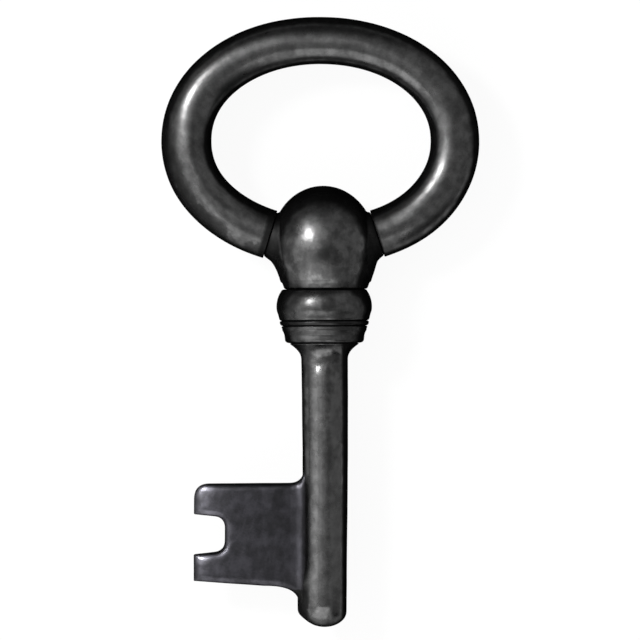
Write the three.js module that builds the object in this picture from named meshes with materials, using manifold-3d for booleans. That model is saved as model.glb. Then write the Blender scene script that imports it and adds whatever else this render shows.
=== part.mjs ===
// A dark pewter key: an oval bow of round rod on a ball-shaped knop, a stack of turned
// collars, a round shank and a flat bit with one notch.
//
// Millimetres, +Z up. The key lies on its back with the shank along Y, the bow towards +Y
// and the bit towards -X. The pieces are laid out on the shank's axis by their station,
// which is the distance from the tip of the shank.

import * as THREE from 'three';
import { mergeVertices } from 'three/addons/utils/BufferGeometryUtils.js';
import Module from 'manifold-3d';

// Film of solder left between a piece and the bore, socket or slot that it sits in
const SOLDER_GAP = 0.05;

// Shank, with the tang that carries the collars and the knop
const SHANK_LENGTH = 35.3;
const SHANK_TOP_RADIUS = 2.9;
const SHANK_TIP_RADIUS = 2.72;
const TIP_DOME_HEIGHT = 1.9;
const SHOULDER_RADIUS = 4.46;
const SHOULDER_COVE_HEIGHT = 1.9;
const TANG_RADIUS = 1.9;
const TANG_IN_KNOP = 4.5;
const TANG_CHAMFER = 0.3;

// The end of the shank is left fuller on the bit's side
const HEEL_OFFSET = 0.65;
const HEEL_ABOVE_TIP = 0.4;
const HEEL_HALF_THICKNESS = 2.1;

// Lower collar: a narrow lip, a shallow groove and a slope that flares up to the ring
const LOWER_COLLAR_HEIGHT = 2.15;
const LOWER_COLLAR_FOOT_RADIUS = 4.45;
const LOWER_COLLAR_LIP_RADIUS = 4.97;
const LOWER_COLLAR_LIP_HEIGHT = 0.95;
const LOWER_COLLAR_GROOVE_RADIUS = 4.88;
const LOWER_COLLAR_WAIST_RADIUS = 5.05;
const LOWER_COLLAR_WAIST_HEIGHT = 1.75;
const LOWER_COLLAR_TOP_RADIUS = 5.42;

// Thin half-round ring between the collars
const RING_HEIGHT = 0.65;
const RING_FOOT_RADIUS = 5.4;
const RING_RADIUS = 5.67;

// Upper collar: a narrow lip, a shallow groove, a barrel bead and a hollow slope
const UPPER_COLLAR_HEIGHT = 3.9;
const UPPER_COLLAR_FOOT_RADIUS = 5.45;
const UPPER_COLLAR_LIP_RADIUS = 5.79;
const UPPER_COLLAR_LIP_HEIGHT = 0.98;
const UPPER_COLLAR_GROOVE_RADIUS = 5.7;
const UPPER_COLLAR_BARREL_RADIUS = 5.95;
const UPPER_COLLAR_BARREL_HEIGHT = 2.1;
const UPPER_COLLAR_EDGE_DROP = 0.15;

// Knop: a neck that swells into a bulb and ends in a half ball
const NECK_RADIUS = 5.32;
const NECK_LAND = 0.2;
const KNOP_BASE_TO_BALL = 6.5;
const BULB_SWELL_HEIGHT = 3;
const BALL_RADIUS = 6.36;

// Bow: round rod bent along an oval a little fuller than an ellipse, measured on its middle line
const BOW_HALF_WIDTH = 16.7;
const BOW_HALF_HEIGHT = 12.5;
const BOW_FULLNESS = 2.066;
const BOW_ROD_RADIUS = 3.03;

// Joints between the bow's two ends and the knop's two bosses
const SEAM_CLEAR_OF_BALL = 0.3;
const SEAM_ABOVE_BALL = 0.36;
const BOSS_STEP = 0.28;
const BOSS_FLARE_START = 0.4;
const BOSS_FLARE_WAIST_DEPTH = 1.4;
const BOSS_FLARE_WAIST_SPREAD = 0.1;
const BOSS_FLARE_DEPTH = 2.8;
const BOSS_FLARE_SPREAD = 1.45;
const TENON_RADIUS = 1.5;
const TENON_LENGTH = 3;
const TENON_IN_ROD = 1;

// Bit: stations along the shank, and distances from its axis
const BIT_REACH = 16.3;
const BIT_TOP = 17.95;
const BIT_FOOT = 5.85;
const BIT_FOOT_FALL = 0.65;
const BIT_THICKNESS = 3;
const BIT_EDGE_RADIUS = 0.9;
const BIT_CORNER = 1.9;
const NOTCH_TOP = 14.15;
const NOTCH_FOOT = 9.15;
const NOTCH_DEPTH = 3.85;
const NOTCH_TAPER = 0.42;
const NOTCH_CORNER = 1.3;
const ROOT_FILLET = 1.85;
const ROOT_COVE_RADIUS = 1.6;
const HEEL_FILLET_LENGTH = 4.4;
const HEEL_FILLET_HEIGHT = 2.25;
const TONGUE_THICKNESS = 2;
const TONGUE_DEPTH = 1.4;
const TONGUE_INSET = 1.1;

// How far the bit's outline runs into the shank and past the root fillet, before it is cut to fit
const ROOT_IN_SHANK = 0.15;
const BLANK_PAST_AXIS = 0.7;
const BLANK_PAST_FILLET = 0.6;

// Fineness of the round surfaces
const TURNED_SEGMENTS = 40;
const PROFILE_STEPS = 4;
const ROD_SEGMENTS = 20;
const BOW_STEPS = 64;
const EDGE_STEPS = 3;
const SAME_POINT = 1e-5;

// Sizes that follow from those above
const lowerCollarBase = SHANK_LENGTH;
const ringBase = lowerCollarBase + LOWER_COLLAR_HEIGHT;
const upperCollarBase = ringBase + RING_HEIGHT;
const knopBase = upperCollarBase + UPPER_COLLAR_HEIGHT;
const ballStation = knopBase + KNOP_BASE_TO_BALL;
const boreRadius = TANG_RADIUS + SOLDER_GAP;
const seamFromAxis = BALL_RADIUS + SEAM_CLEAR_OF_BALL;
const seamDrop = ovalHeight(seamFromAxis);
const bowStation = ballStation + SEAM_ABOVE_BALL + seamDrop;
const overallLength = bowStation + BOW_HALF_HEIGHT + BOW_ROD_RADIUS;

const wasm = await Module();
wasm.setup();

// Height of the bow's middle line above its centre, at a distance from the axis
function ovalHeight(x) {
  const share = Math.pow(x / BOW_HALF_WIDTH, BOW_FULLNESS);
  return BOW_HALF_HEIGHT * Math.pow(1 - share, 1 / BOW_FULLNESS);
}

// Radius of the tapered shank at a station
function shankRadius(station) {
  const length = SHANK_LENGTH - SHOULDER_COVE_HEIGHT - TIP_DOME_HEIGHT;
  const share = (station - TIP_DOME_HEIGHT) / length;
  return SHANK_TIP_RADIUS + (SHANK_TOP_RADIUS - SHANK_TIP_RADIUS) * share;
}

// A solid that can be joined and cut, from a closed geometry
function solidOf(geometry) {
  const bare = geometry.clone();
  bare.deleteAttribute('normal');
  bare.deleteAttribute('uv');
  const merged = mergeVertices(bare, SAME_POINT);
  const vertProperties = new Float32Array(merged.attributes.position.array);
  const triVerts = new Uint32Array(merged.index.array);
  return new wasm.Manifold(new wasm.Mesh({ numProp: 3, vertProperties, triVerts }));
}

// The geometry of a finished solid
function geometryOf(solid) {
  const mesh = solid.getMesh();
  const geometry = new THREE.BufferGeometry();
  geometry.setAttribute('position', new THREE.BufferAttribute(mesh.vertProperties, 3));
  geometry.setIndex(new THREE.BufferAttribute(mesh.triVerts, 1));
  geometry.computeVertexNormals();
  return geometry;
}

// A profile of radii and stations, turned about the shank's axis
function turned(profile) {
  return new THREE.LatheGeometry(profile.getPoints(PROFILE_STEPS), TURNED_SEGMENTS);
}

// A profile that begins at the bore of a collar, with the bore's two ends still open
function collarProfile(height, draw) {
  const profile = new THREE.Path();
  profile.moveTo(boreRadius, 0);
  draw(profile);
  profile.lineTo(boreRadius, height);
  profile.lineTo(boreRadius, 0);
  return profile;
}

// A rounded lip at the foot of a collar, which ends in a groove
function lip(profile, height, radius, grooveRadius) {
  profile.quadraticCurveTo(radius, 0, radius, height / 2);
  profile.quadraticCurveTo(radius, height, grooveRadius, height);
}

function lowerCollar() {
  const profile = collarProfile(LOWER_COLLAR_HEIGHT, (path) => {
    path.lineTo(LOWER_COLLAR_FOOT_RADIUS, 0);
    lip(path, LOWER_COLLAR_LIP_HEIGHT, LOWER_COLLAR_LIP_RADIUS, LOWER_COLLAR_GROOVE_RADIUS);
    path.quadraticCurveTo(LOWER_COLLAR_WAIST_RADIUS, LOWER_COLLAR_WAIST_HEIGHT,
      LOWER_COLLAR_TOP_RADIUS, LOWER_COLLAR_HEIGHT);
  });
  return turned(profile).translate(0, lowerCollarBase, 0);
}

function collarRing() {
  const profile = collarProfile(RING_HEIGHT, (path) => {
    path.lineTo(RING_FOOT_RADIUS, 0);
    path.absellipse(RING_FOOT_RADIUS, RING_HEIGHT / 2, RING_RADIUS - RING_FOOT_RADIUS, RING_HEIGHT / 2,
      -Math.PI / 2, Math.PI / 2, false);
  });
  return turned(profile).translate(0, ringBase, 0);
}

function upperCollar() {
  const barrelTop = UPPER_COLLAR_LIP_HEIGHT + UPPER_COLLAR_BARREL_HEIGHT;
  const barrelMiddle = UPPER_COLLAR_LIP_HEIGHT + UPPER_COLLAR_BARREL_HEIGHT / 2;
  const edgeRadius = UPPER_COLLAR_BARREL_RADIUS - UPPER_COLLAR_EDGE_DROP;
  const profile = collarProfile(UPPER_COLLAR_HEIGHT, (path) => {
    path.lineTo(UPPER_COLLAR_FOOT_RADIUS, 0);
    lip(path, UPPER_COLLAR_LIP_HEIGHT, UPPER_COLLAR_LIP_RADIUS, UPPER_COLLAR_GROOVE_RADIUS);
    path.quadraticCurveTo(UPPER_COLLAR_BARREL_RADIUS, UPPER_COLLAR_LIP_HEIGHT,
      UPPER_COLLAR_BARREL_RADIUS, barrelMiddle);
    path.quadraticCurveTo(UPPER_COLLAR_BARREL_RADIUS, barrelTop, edgeRadius, barrelTop);
    path.quadraticCurveTo(NECK_RADIUS + UPPER_COLLAR_EDGE_DROP, barrelTop, NECK_RADIUS, UPPER_COLLAR_HEIGHT);
  });
  return turned(profile).translate(0, upperCollarBase, 0);
}

// Where the bow's right-hand end meets its boss, and the way the rod leaves the boss there
function seam() {
  const place = new THREE.Vector2(seamFromAxis, ballStation + SEAM_ABOVE_BALL);
  const steepness = Math.pow(BOW_HALF_HEIGHT / BOW_HALF_WIDTH, BOW_FULLNESS)
    * Math.pow(seamFromAxis / seamDrop, BOW_FULLNESS - 1);
  return { place, angle: Math.atan(steepness) };
}

// Stands a shape, made along Y with the seam at its zero, on the right-hand seam
function onSeam(geometry) {
  const { place, angle } = seam();
  return geometry.rotateZ(angle - Math.PI / 2).translate(place.x, place.y, 0);
}

// The right-hand tenon of the bow, or the socket for it when a gap is given
function tenon(gap) {
  const length = TENON_LENGTH + TENON_IN_ROD + gap;
  const radius = TENON_RADIUS + gap;
  const pin = new THREE.CylinderGeometry(radius, radius, length, ROD_SEGMENTS);
  return onSeam(pin.translate(0, TENON_IN_ROD - length / 2, 0));
}

// The right-hand boss of the knop, which flares where it leaves the ball
function boss() {
  const radius = BOW_ROD_RADIUS - BOSS_STEP;
  const profile = new THREE.Path();
  profile.moveTo(0, -BOSS_FLARE_DEPTH);
  profile.lineTo(radius + BOSS_FLARE_SPREAD, -BOSS_FLARE_DEPTH);
  profile.quadraticCurveTo(radius + BOSS_FLARE_WAIST_SPREAD, -BOSS_FLARE_WAIST_DEPTH,
    radius, -BOSS_FLARE_START);
  profile.lineTo(radius, -SOLDER_GAP);
  profile.lineTo(0, -SOLDER_GAP);
  return onSeam(turned(profile));
}

// A shape on the right-hand side and its twin on the left
function bothSides(geometry) {
  const twin = geometry.clone().rotateY(Math.PI);
  return solidOf(geometry).add(solidOf(twin));
}

function knop() {
  const boreDepth = TANG_IN_KNOP + SOLDER_GAP;
  const profile = new THREE.Path();
  profile.moveTo(0, boreDepth);
  profile.lineTo(boreRadius, boreDepth);
  profile.lineTo(boreRadius, 0);
  profile.lineTo(NECK_RADIUS, 0);
  profile.lineTo(NECK_RADIUS, NECK_LAND);
  profile.quadraticCurveTo(BALL_RADIUS, BULB_SWELL_HEIGHT, BALL_RADIUS, KNOP_BASE_TO_BALL);
  profile.absarc(0, KNOP_BASE_TO_BALL, BALL_RADIUS, 0, Math.PI / 2, false);
  const ball = solidOf(turned(profile).translate(0, knopBase, 0));
  return geometryOf(ball.add(bothSides(boss())).subtract(bothSides(tenon(SOLDER_GAP))));
}

// The bow's middle line, from the right-hand seam over the top to the left-hand one
class BowCurve extends THREE.Curve {
  getPoint(t, target = new THREE.Vector3()) {
    const start = Math.atan2(-seamDrop, seamFromAxis);
    const angle = start + t * (Math.PI - 2 * start);
    const across = Math.pow(Math.abs(Math.cos(angle)) / BOW_HALF_WIDTH, BOW_FULLNESS);
    const along = Math.pow(Math.abs(Math.sin(angle)) / BOW_HALF_HEIGHT, BOW_FULLNESS);
    const radius = Math.pow(across + along, -1 / BOW_FULLNESS);
    return target.set(radius * Math.cos(angle), bowStation + radius * Math.sin(angle), 0);
  }
}

function bow() {
  const section = new THREE.Shape();
  section.absarc(0, 0, BOW_ROD_RADIUS, 0, 2 * Math.PI, false);
  const rod = new THREE.ExtrudeGeometry(section, {
    extrudePath: new BowCurve(),
    steps: BOW_STEPS,
    curveSegments: ROD_SEGMENTS / 2,
    bevelEnabled: false,
  });
  return geometryOf(solidOf(rod).add(bothSides(tenon(0))));
}

// The round of the shank's end, drawn up to a station, with its radius grown by a gap
function tipProfile(top, gap) {
  const profile = new THREE.Path();
  profile.absellipse(0, TIP_DOME_HEIGHT, SHANK_TIP_RADIUS + gap, TIP_DOME_HEIGHT + gap,
    -Math.PI / 2, 0, false);
  profile.lineTo(shankRadius(top) + gap, top);
  return profile;
}

// The fuller side of the shank's end, which runs up into the root of the bit
function heel(gap) {
  const top = BIT_FOOT + gap;
  const profile = tipProfile(top, gap);
  profile.lineTo(0, top);
  const thinning = (HEEL_HALF_THICKNESS + gap) / (SHANK_TIP_RADIUS + gap);
  return turned(profile).scale(1, 1, thinning).translate(-HEEL_OFFSET, HEEL_ABOVE_TIP, 0);
}

// The shank's round stem and its heel, with every radius grown by a gap
function stem(gap) {
  const top = SHANK_LENGTH - SHOULDER_COVE_HEIGHT;
  const profile = tipProfile(top, gap);
  profile.quadraticCurveTo(SHANK_TOP_RADIUS + gap, SHANK_LENGTH - SHOULDER_COVE_HEIGHT / 2,
    SHOULDER_RADIUS + gap, SHANK_LENGTH);
  profile.lineTo(0, SHANK_LENGTH);
  return solidOf(turned(profile)).add(solidOf(heel(gap)));
}

// The tongue of the bit, or the slot for it when a gap is given
function tongue(gap) {
  const outer = shankRadius(BIT_TOP) + BIT_EDGE_RADIUS;
  const inner = SHANK_TIP_RADIUS - TONGUE_DEPTH - gap;
  const low = BIT_FOOT + TONGUE_INSET - gap;
  const high = BIT_TOP - TONGUE_INSET + gap;
  const block = new THREE.BoxGeometry(outer - inner, high - low, TONGUE_THICKNESS + 2 * gap);
  return solidOf(block.translate(-(outer + inner) / 2, (low + high) / 2, 0));
}

function shank() {
  const tangTop = knopBase + TANG_IN_KNOP;
  const profile = new THREE.Path();
  profile.moveTo(0, SHANK_LENGTH - SHOULDER_COVE_HEIGHT);
  profile.lineTo(TANG_RADIUS, SHANK_LENGTH - SHOULDER_COVE_HEIGHT);
  profile.lineTo(TANG_RADIUS, tangTop - TANG_CHAMFER);
  profile.lineTo(TANG_RADIUS - TANG_CHAMFER, tangTop);
  profile.lineTo(0, tangTop);
  const tang = solidOf(turned(profile));
  return geometryOf(stem(0).add(tang).subtract(tongue(SOLDER_GAP)));
}

// Runs an outline to a corner and rounds it on a curve that starts a distance before the corner
function turnCorner(outline, corner, next, distance) {
  const before = outline.currentPoint.clone().sub(corner).setLength(distance).add(corner);
  const after = next.clone().sub(corner).setLength(distance).add(corner);
  outline.lineTo(before.x, before.y);
  outline.quadraticCurveTo(corner.x, corner.y, after.x, after.y);
}

// The bit's outline seen from the front, with its root running into the shank
function bitOutline() {
  const rootX = -(shankRadius(BIT_TOP) - ROOT_IN_SHANK);
  const heelX = -(SHANK_TIP_RADIUS + HEEL_OFFSET - ROOT_IN_SHANK);
  const floorX = NOTCH_DEPTH - BIT_REACH;
  const rootTop = BIT_TOP + ROOT_FILLET;
  const heelTop = BIT_FOOT - BIT_FOOT_FALL;
  const outerTop = new THREE.Vector2(-BIT_REACH, BIT_TOP);
  const mouthTop = new THREE.Vector2(-BIT_REACH, NOTCH_TOP);
  const floorTop = new THREE.Vector2(floorX, NOTCH_TOP - NOTCH_TAPER);
  const floorFoot = new THREE.Vector2(floorX, NOTCH_FOOT + NOTCH_TAPER);
  const mouthFoot = new THREE.Vector2(-BIT_REACH, NOTCH_FOOT);
  const heelFillet = new THREE.Vector2(heelX - HEEL_FILLET_LENGTH, heelTop);

  const outline = new THREE.Shape();
  outline.moveTo(BLANK_PAST_AXIS, rootTop + BLANK_PAST_FILLET);
  outline.lineTo(rootX, rootTop + BLANK_PAST_FILLET);
  turnCorner(outline, new THREE.Vector2(rootX, BIT_TOP), outerTop, ROOT_FILLET);
  turnCorner(outline, outerTop, mouthTop, BIT_CORNER);
  outline.lineTo(mouthTop.x, mouthTop.y);
  turnCorner(outline, floorTop, floorFoot, NOTCH_CORNER);
  turnCorner(outline, floorFoot, mouthFoot, NOTCH_CORNER);
  outline.lineTo(mouthFoot.x, mouthFoot.y);
  outline.lineTo(-BIT_REACH, BIT_FOOT);
  outline.lineTo(heelFillet.x, heelFillet.y);
  outline.quadraticCurveTo(heelX, heelTop, heelX, heelTop - HEEL_FILLET_HEIGHT);
  outline.lineTo(BLANK_PAST_AXIS, heelTop - HEEL_FILLET_HEIGHT);
  return outline;
}

// The bit's outline as a plate with rounded edges
function bitPlate(thickness) {
  const flat = thickness - 2 * BIT_EDGE_RADIUS;
  const plate = new THREE.ExtrudeGeometry(bitOutline(), {
    depth: flat,
    curveSegments: 2 * PROFILE_STEPS,
    bevelThickness: BIT_EDGE_RADIUS,
    bevelSize: BIT_EDGE_RADIUS,
    bevelOffset: -BIT_EDGE_RADIUS,
    bevelSegments: EDGE_STEPS,
  });
  return solidOf(plate.translate(0, 0, -flat / 2));
}

// The hollow fillets in which the bit's front and back run up onto the shank
function rootCoves() {
  const half = BIT_THICKNESS / 2;
  const middleRadius = shankRadius((BIT_TOP + BIT_FOOT) / 2);
  const centreZ = half + ROOT_COVE_RADIUS;
  const centreX = -Math.sqrt((middleRadius + ROOT_COVE_RADIUS) ** 2 - centreZ ** 2);
  const meeting = Math.atan2(-centreZ, -centreX);
  const section = new THREE.Shape();
  section.moveTo(centreX, 0);
  section.absarc(centreX, centreZ, ROOT_COVE_RADIUS, -Math.PI / 2, meeting, false);
  section.lineTo(0, half);
  section.lineTo(0, 0);
  const length = BIT_TOP + 2 * ROOT_FILLET;
  const front = new THREE.ExtrudeGeometry(section, {
    depth: length,
    curveSegments: PROFILE_STEPS,
    bevelEnabled: false,
  });
  front.rotateX(Math.PI / 2).translate(0, length, 0);
  const back = front.clone().rotateY(Math.PI).rotateZ(Math.PI).translate(0, length, 0);
  const highest = centreZ + ROOT_COVE_RADIUS * Math.sin(meeting);
  return solidOf(front).add(solidOf(back)).intersect(bitPlate(2 * highest));
}

function bit() {
  const plate = bitPlate(BIT_THICKNESS).add(rootCoves());
  return geometryOf(plate.subtract(stem(SOLDER_GAP)).add(tongue(0)));
}

// One named piece in dark pewter, whose finish differs a little from piece to piece
function piece(name, geometry, color, roughness) {
  const material = new THREE.MeshStandardMaterial({ color, roughness, metalness: 0.9 });
  const mesh = new THREE.Mesh(geometry, material);
  mesh.name = name;
  return mesh;
}

const key = new THREE.Group();
key.add(piece('bow', bow(), 0x424245, 0.36));
key.add(piece('knop', knop(), 0x3a3a3d, 0.38));
key.add(piece('upper_collar', upperCollar(), 0x38383b, 0.42));
key.add(piece('collar_ring', collarRing(), 0x343437, 0.45));
key.add(piece('lower_collar', lowerCollar(), 0x38383b, 0.42));
key.add(piece('shank', shank(), 0x424244, 0.4));
key.add(piece('bit', bit(), 0x38383f, 0.42));
key.position.set(0, -overallLength / 2, BALL_RADIUS);

export default key;
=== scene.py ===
# A dark pewter key lying on its back on a white studio floor.
#
# Blender works in metres here. The pieces are drawn in millimetres on the key's own layout,
# where Y is the station along the shank from its tip, and are then put in place by the frame.

import math

import bmesh
import bpy
import numpy as np
from mathutils import Matrix, Vector


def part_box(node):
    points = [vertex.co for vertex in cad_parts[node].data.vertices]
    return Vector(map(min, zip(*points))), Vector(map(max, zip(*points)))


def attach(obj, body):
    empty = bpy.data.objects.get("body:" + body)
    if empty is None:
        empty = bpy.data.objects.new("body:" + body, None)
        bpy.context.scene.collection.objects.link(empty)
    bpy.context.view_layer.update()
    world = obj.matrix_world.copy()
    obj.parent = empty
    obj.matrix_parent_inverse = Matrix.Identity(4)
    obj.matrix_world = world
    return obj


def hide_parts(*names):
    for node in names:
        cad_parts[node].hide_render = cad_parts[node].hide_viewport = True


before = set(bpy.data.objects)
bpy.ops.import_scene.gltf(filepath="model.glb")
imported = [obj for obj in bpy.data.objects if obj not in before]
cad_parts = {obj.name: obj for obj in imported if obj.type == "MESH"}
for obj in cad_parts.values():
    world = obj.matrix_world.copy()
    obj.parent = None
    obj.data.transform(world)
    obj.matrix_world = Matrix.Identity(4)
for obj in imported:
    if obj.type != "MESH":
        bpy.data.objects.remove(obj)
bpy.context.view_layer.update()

MM = 0.001
BODY = "root"
TONE = "tone"

# Kinds of sockets
FLOAT = "NodeSocketFloat"
INTEGER = "NodeSocketInt"
VECTOR = "NodeSocketVector"
COLOUR = "NodeSocketColor"
GEOMETRY = "NodeSocketGeometry"
MATERIAL = "NodeSocketMaterial"

# Shank, in millimetres
SHANK_LENGTH = 35.3
SHANK_TOP_RADIUS = 2.9
SHANK_TIP_RADIUS = 2.72
TIP_DOME_HEIGHT = 1.9
TIP_FACET_HEIGHT = 2.7
TIP_FACET_DEPTH = 0.36
TIP_FACET_CURVE = 1.2
DENT_PLACE = (-1.1, 32.7)
DENT_REACH = (1.7, 0.8)
DENT_DEPTH = 0.145
SHOULDER_RADIUS = 4.46
SHOULDER_COVE = 1.9
HEEL_OFFSET = 0.65
HEEL_RISE = (0.2, 2.3)
HEEL_RUN_OUT = (5.0, 8.0)
HEEL_SHARPNESS = 4
TIP_LEAN = -0.2
LEAN_START = 24.0

# Collars: their heights, their bore's radius, and their outlines as (radius, height over the foot)
LOWER_COLLAR_HEIGHT = 2.15
RING_HEIGHT = 0.65
UPPER_COLLAR_HEIGHT = 3.9
COLLAR_BORE = 1.95
LOWER_LIP_FOOT = (4.35, 0.0)
LOWER_LIP_CENTRE = (4.5, 0.45)
LOWER_LIP_REACH = (0.42, 0.4)
LOWER_GROOVE = [(4.92, 0.45), (4.93, 0.7), (4.98, 0.86)]
LOWER_SLOPE = [(4.94, 0.97), (5.02, 1.1), (5.08, 1.35), (5.22, 1.55), (5.26, 1.7)]
LOWER_FLARE = [(5.25, 1.84), (5.33, 1.93), (5.37, 2.02), (5.22, LOWER_COLLAR_HEIGHT)]
RING_OUTLINE = [(5.2, 0.0), (5.4, 0.07), (5.49, 0.2), (5.56, 0.42), (5.53, 0.57), (5.35, RING_HEIGHT)]
BARREL_RADIUS = 5.94
UPPER_LIP = [(5.35, 0.0), (5.55, 0.08), (5.63, 0.3), (5.68, 0.55), (5.75, 0.8), (5.84, 1.05)]
BARREL_RISE = [(5.84, 1.05), (BARREL_RADIUS, 1.3), (BARREL_RADIUS, 1.7)]
BARREL_FALL = [(BARREL_RADIUS, 1.7), (BARREL_RADIUS, 2.3), (BARREL_RADIUS - 0.2, 2.9)]
UPPER_HOLLOW = [(BARREL_RADIUS - 0.2, 2.9), (5.62, 3.25), (5.4, 3.6)]
UPPER_RIM = [(5.28, UPPER_COLLAR_HEIGHT - 0.08), (5.05, UPPER_COLLAR_HEIGHT)]

# Knop, and the outline of its bosses as (radius, depth under the seam)
NECK_RADIUS = 5.25
KNOP_TO_BALL = 6.5
BALL_DROP = 0.5
NECK_EDGE = 0.3
BULB_CONTROL = (6.2, 2.8)
BALL_RADIUS = 6.36
BULB_LEAN = 0.22
BULB_LEAN_BELOW = (1.5, 4.5)
BULB_LEAN_HALF_WIDTH = 8.0
BULB_LEAN_EDGE = (0.5, 2.0)
BALL_LEAN = -0.07
BALL_LEAN_RISE = 3
BALL_CREST_DOWN = 0.015
BALL_CREST_REACH = 4.0
BOSS_RADIUS = 2.8
BOSS_OUTLINE = [(2.85, 0.1), (2.95, 0.4), (3.2, 1.0), (3.6, 1.4), (4.1, 1.8), (4.9, 2.4), (5.5, 2.8)]
BOSS_PAST_SEAM = 0.03
BOSS_FLATTENING = 0.24

# Bow, with angles in degrees and its turn as a slope
BOW_HALF_WIDTH = 16.7
BOW_HALF_HEIGHT = 12.5
BOW_FULLNESS = 2.066
BOW_ROD_RADIUS = 3.03
BOW_TOP_THINNING = 0.1
BOW_LEFT_FULLNESS = 0.09
BOW_SHIFT = -0.3
BOW_TURN = -0.0115
BOW_CREST_INWARD = 0.13
BOW_LEFT_SWING = 0.14
BOW_SWING_MIDDLE = 175
BOW_SETTLE_ANGLES = (10, 45)
STREAK_FACING = -19
STREAK_SPREAD = 13
STREAK_ACROSS = -0.5
STREAK_WIDTH = 0.28
STREAK_FLATTENING = 0.025
SEAM_FROM_AXIS = 6.66
SEAM_ABOVE_BALL = 0.36
SEAM_EDGE = 0.06
SEAM_EDGE_ANGLE = 50
SEAM_EDGE_STEPS = 3

# Bit
BIT_REACH = 16.3
BIT_TOP = 17.95
BIT_FOOT = 5.85
BIT_FOOT_FALL = 0.65
BIT_HALF_THICKNESS = 1.5
BIT_EDGE_DEPTH = 0.7
BIT_EDGE_WIDTH = 1.0
BIT_CREST = -9.5
BIT_DOMING = 0.0075
BIT_CORNER = 1.9
NOTCH_TOP = 14.15
NOTCH_FOOT = 9.15
NOTCH_DEPTH = 3.85
NOTCH_TAPER = 0.42
NOTCH_CORNER = 1.3
ROOT_FILLET = 1.85
BIT_END_ROUND = 0.3
BIT_END_ROUND_WIDTH = 2.2
SADDLE_OVERLAP = 0.1
ROOT_PAST_AXIS = 0.7
ROOT_OVERRUN = 0.6
ROOT_SINK = 0.05
HEEL_SINK = 0.15
ROOT_SWELL_PLACE = -2.8
ROOT_SWELL_REACH = 0.5
ROOT_SWELL_HEIGHT = 0.16
ROOT_DOME_END = -4.3
HEEL_FILLET_LENGTH = 4.4
HEEL_FILLET_HEIGHT = 2.25

# Tones painted on the pieces, mostly painted light and shade: black where shade falls and lighter
# where light falls. A patch or a spot is its centre, its reach and its strength, and a band is its
# middle, its width and its strength. A pair of numbers is where a tone starts and where it is full,
# or where it starts to fade and where it is gone, for a patch in squares of its reach.
PATCH_FADE = (0.1, 2.0)

# Bow's tones, from the middle of its oval: painted shade, with some patina, where its ends meet the
# knop, painted shade on the rim and the inside of its left limb, and a painted highlight on its right
SEAM_BLACK_RIGHT = (0.1, 0.35)
SEAM_BLACK_LEFT = (0.6, 1.1)
LEFT_LIMB_ACROSS = (9.0, 13.0)
LEFT_LIMB_TOP = 5.0
LEFT_LIMB_FADE = 6.0
LEFT_RIM_ACROSS = (0.12, 0.6)
LEFT_RIM_BLACK = 0.8
LEFT_INSIDE_BLACK = (-0.22, 0.18, 0.75)
LEFT_FOOT_BLACK = ((-8.4, -13.4), (1.6, 1.4), 0.7)
STREAK_HIGHLIGHT = 0.6

# Knop's tones, with those of its sides as shares of its radius: painted shade on the ball's sides
# and bosses and at the neck's foot, and a painted reflection low on the bulb
BALL_LEFT_ACROSS = (0.82, 0.9)
BALL_RIGHT_ACROSS = (0.72, 0.9)
BULB_BLACK_SPREAD = 0.12
BULB_BLACK_BELOW = (1.0, 5.0)
NECK_BLACK = 0.45
NECK_BLACK_TOP = (0.5, 1.1)
BULB_REFLECTION = ((-2.0, 44.0), (3.6, 1.6), 0.4)
BULB_REFLECTION_END = (0.6, 0.9)
BULB_DARK = ((0.8, 46.1), (1.6, 1.2), 0.7)
BALL_DARK = ((-0.6, 53.0), (2.6, 1.6), 0.6)

# Collars' tones, with the two spots by their height over the lower collar's foot: the spots are
# painted highlights on the lower collar's lip and flare, and its sides are black as painted shade
BARREL_LIGHTER = ((2.4, 40.6), (1.1, 1.2), 0.35)
BARREL_DARK = ((0.4, 40.2), (0.9, 1.2), 0.6)
LIP_HIGHLIGHT = ((-0.7, 0.7), (2.2, 0.25), 1.1)
FLARE_HIGHLIGHT = ((-1.9, 1.75), (1.6, 0.25), 0.5)
COLLAR_BLACK_MIDDLE = -0.3
COLLAR_BLACK_ACROSS = (2.8, 4.2)
COLLAR_BLACK = 0.55

# Shank's tones, with that of its right side as a share of its radius: black as painted shade down
# its right side, on the heel, the left flank, a stripe and the cove, and a painted highlight left of
# the middle
SHANK_BLACK_ACROSS = (0.62, 0.82)
HEEL_BLACK_ACROSS = (1.5, 2.3)
HEEL_BLACK_TOP = (4.5, 6.5)
HEEL_BLACK = 0.9
FLANK_BLACK_ACROSS = (2.0, 2.5)
FLANK_BLACK = 0.35
STRIPE_BLACK = (0.45, 0.4, 0.45)
SHANK_HIGHLIGHT = (-1.1, 0.9, 0.12)
COVE_BLACK = ((0.8, 33.3), (1.3, 0.7), 0.5)

# Bit's tones: painted light towards its outer end, painted highlights at two corners and the root,
# a darker middle, and painted shade where the root runs out below
BIT_END_ACROSS = (11.0, BIT_REACH - 1.0)
BIT_END_LIGHT = 0.25
PRONG_RISE = (11.5, 14.5)
PRONG_LIGHT = 0.55
ROOT_ACROSS = (-3.9, -3.3)
ROOT_LIGHT = 0.1
BIT_MIDDLE_DARK = ((-6.2, 13.0), (2.6, 6.0), 0.3)
UPPER_CORNER_HIGHLIGHT = ((-14.9, 16.9), (1.0, 0.8), 1.1)
LOWER_CORNER_HIGHLIGHT = ((-15.1, 8.5), (0.8, 0.6), 1.1)
ROOT_BLACK_TOP = 5.1
ROOT_BLACK_FADE = 0.6
ROOT_BLACK_END = -5.0

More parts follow.
